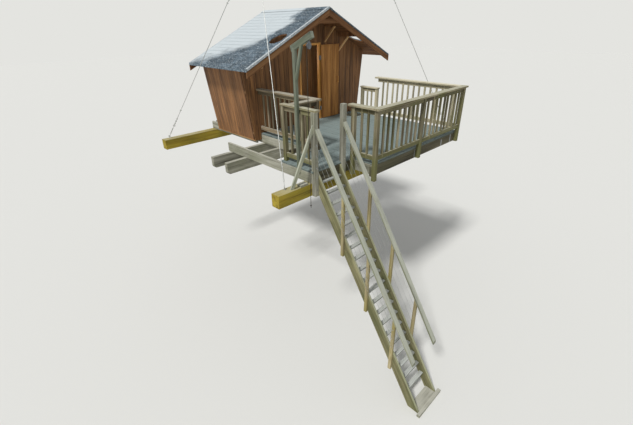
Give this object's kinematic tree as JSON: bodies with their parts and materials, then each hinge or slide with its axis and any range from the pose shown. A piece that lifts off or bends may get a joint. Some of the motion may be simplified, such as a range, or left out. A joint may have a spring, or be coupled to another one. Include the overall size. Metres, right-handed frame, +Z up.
{
  "type": "tree house",
  "caption": "Gabled timber cabin and railed deck on beams bolted to tree trunks, hung by steel stays, with a steep open stair, a hoist arm and a hinged door.",
  "frame": {"origin": "on the trunk side of the front main beam, at mid height, level with the middle of the left trunk", "axes": "+X along the gable wall to the right as seen from the stair, +Y from the stair to the cabin, +Z up"},
  "size_m": [5.93, 7.4, 6.867],
  "materials": {
    "grey_timber": "weathered grey softwood",
    "treated_timber": "yellow-green pressure-treated softwood",
    "deck_boards": "weathered blue-grey boards",
    "floor_boards": "bare boards",
    "stained_boards": "red-brown stained boards",
    "cedar_trim": "fresh orange trim boards",
    "roof_felt": "slate-grey mineral felt",
    "roof_timber": "brown stained timber",
    "door_boards": "brown stained boards",
    "zinc_steel": "zinc-plated steel",
    "rail_timber": "weathered grey-beige softwood",
    "stair_timber": "weathered olive-grey softwood",
    "wire_rope": "galvanised wire rope",
    "hemp_rope": "dark laid rope"
  },
  "bodies": {
    "house": {"main_beams": "grey_timber", "front_beam": "treated_timber", "rear_beam": "treated_timber", "outer_joist": "grey_timber", "deck_joists": "grey_timber", "cross_joists": "grey_timber", "nose_rim": "grey_timber", "entrance_deck": "deck_boards", "right_deck": "deck_boards", "cabin_floor": "floor_boards", "front_wall_left": "stained_boards", "front_wall_right": "stained_boards", "front_wall_top": "stained_boards", "left_wall": "stained_boards", "right_wall": "stained_boards", "back_wall": "stained_boards", "door_frame": "cedar_trim", "roof_left": "roof_felt", "roof_right": "roof_felt", "rake_boards": "roof_timber", "lookouts": "roof_timber", "knee_braces": "roof_timber", "door_hinges": "zinc_steel", "rail_cabin_side": "rail_timber", "rail_step": "rail_timber", "rail_landing": "rail_timber", "rail_short": "rail_timber", "rail_front": "rail_timber", "rail_far": "rail_timber", "rail_low": "rail_timber", "newels": "rail_timber", "newel_brace": "rail_timber", "stringers": "stair_timber", "treads": "stair_timber", "stair_foot": "stair_timber", "stair_posts": "stair_timber", "handrails": "rail_timber", "stair_cables": "wire_rope", "davit": "grey_timber", "davit_block": "zinc_steel", "hoist_rope": "hemp_rope", "rope_knot": "hemp_rope", "front_cable": "wire_rope", "rear_cable": "wire_rope", "far_cable": "wire_rope"},
    "door": {"door_leaf": "door_boards", "leaf_knuckles": "zinc_steel"}
  },
  "joints": [
    {"name": "door_swing", "type": "hinge", "parent": "house", "child": "door", "pos_m": [1.56, 0.5475, 0.6], "axis": [0, 0, 1], "range_deg": [-180, 0]}
  ]
}
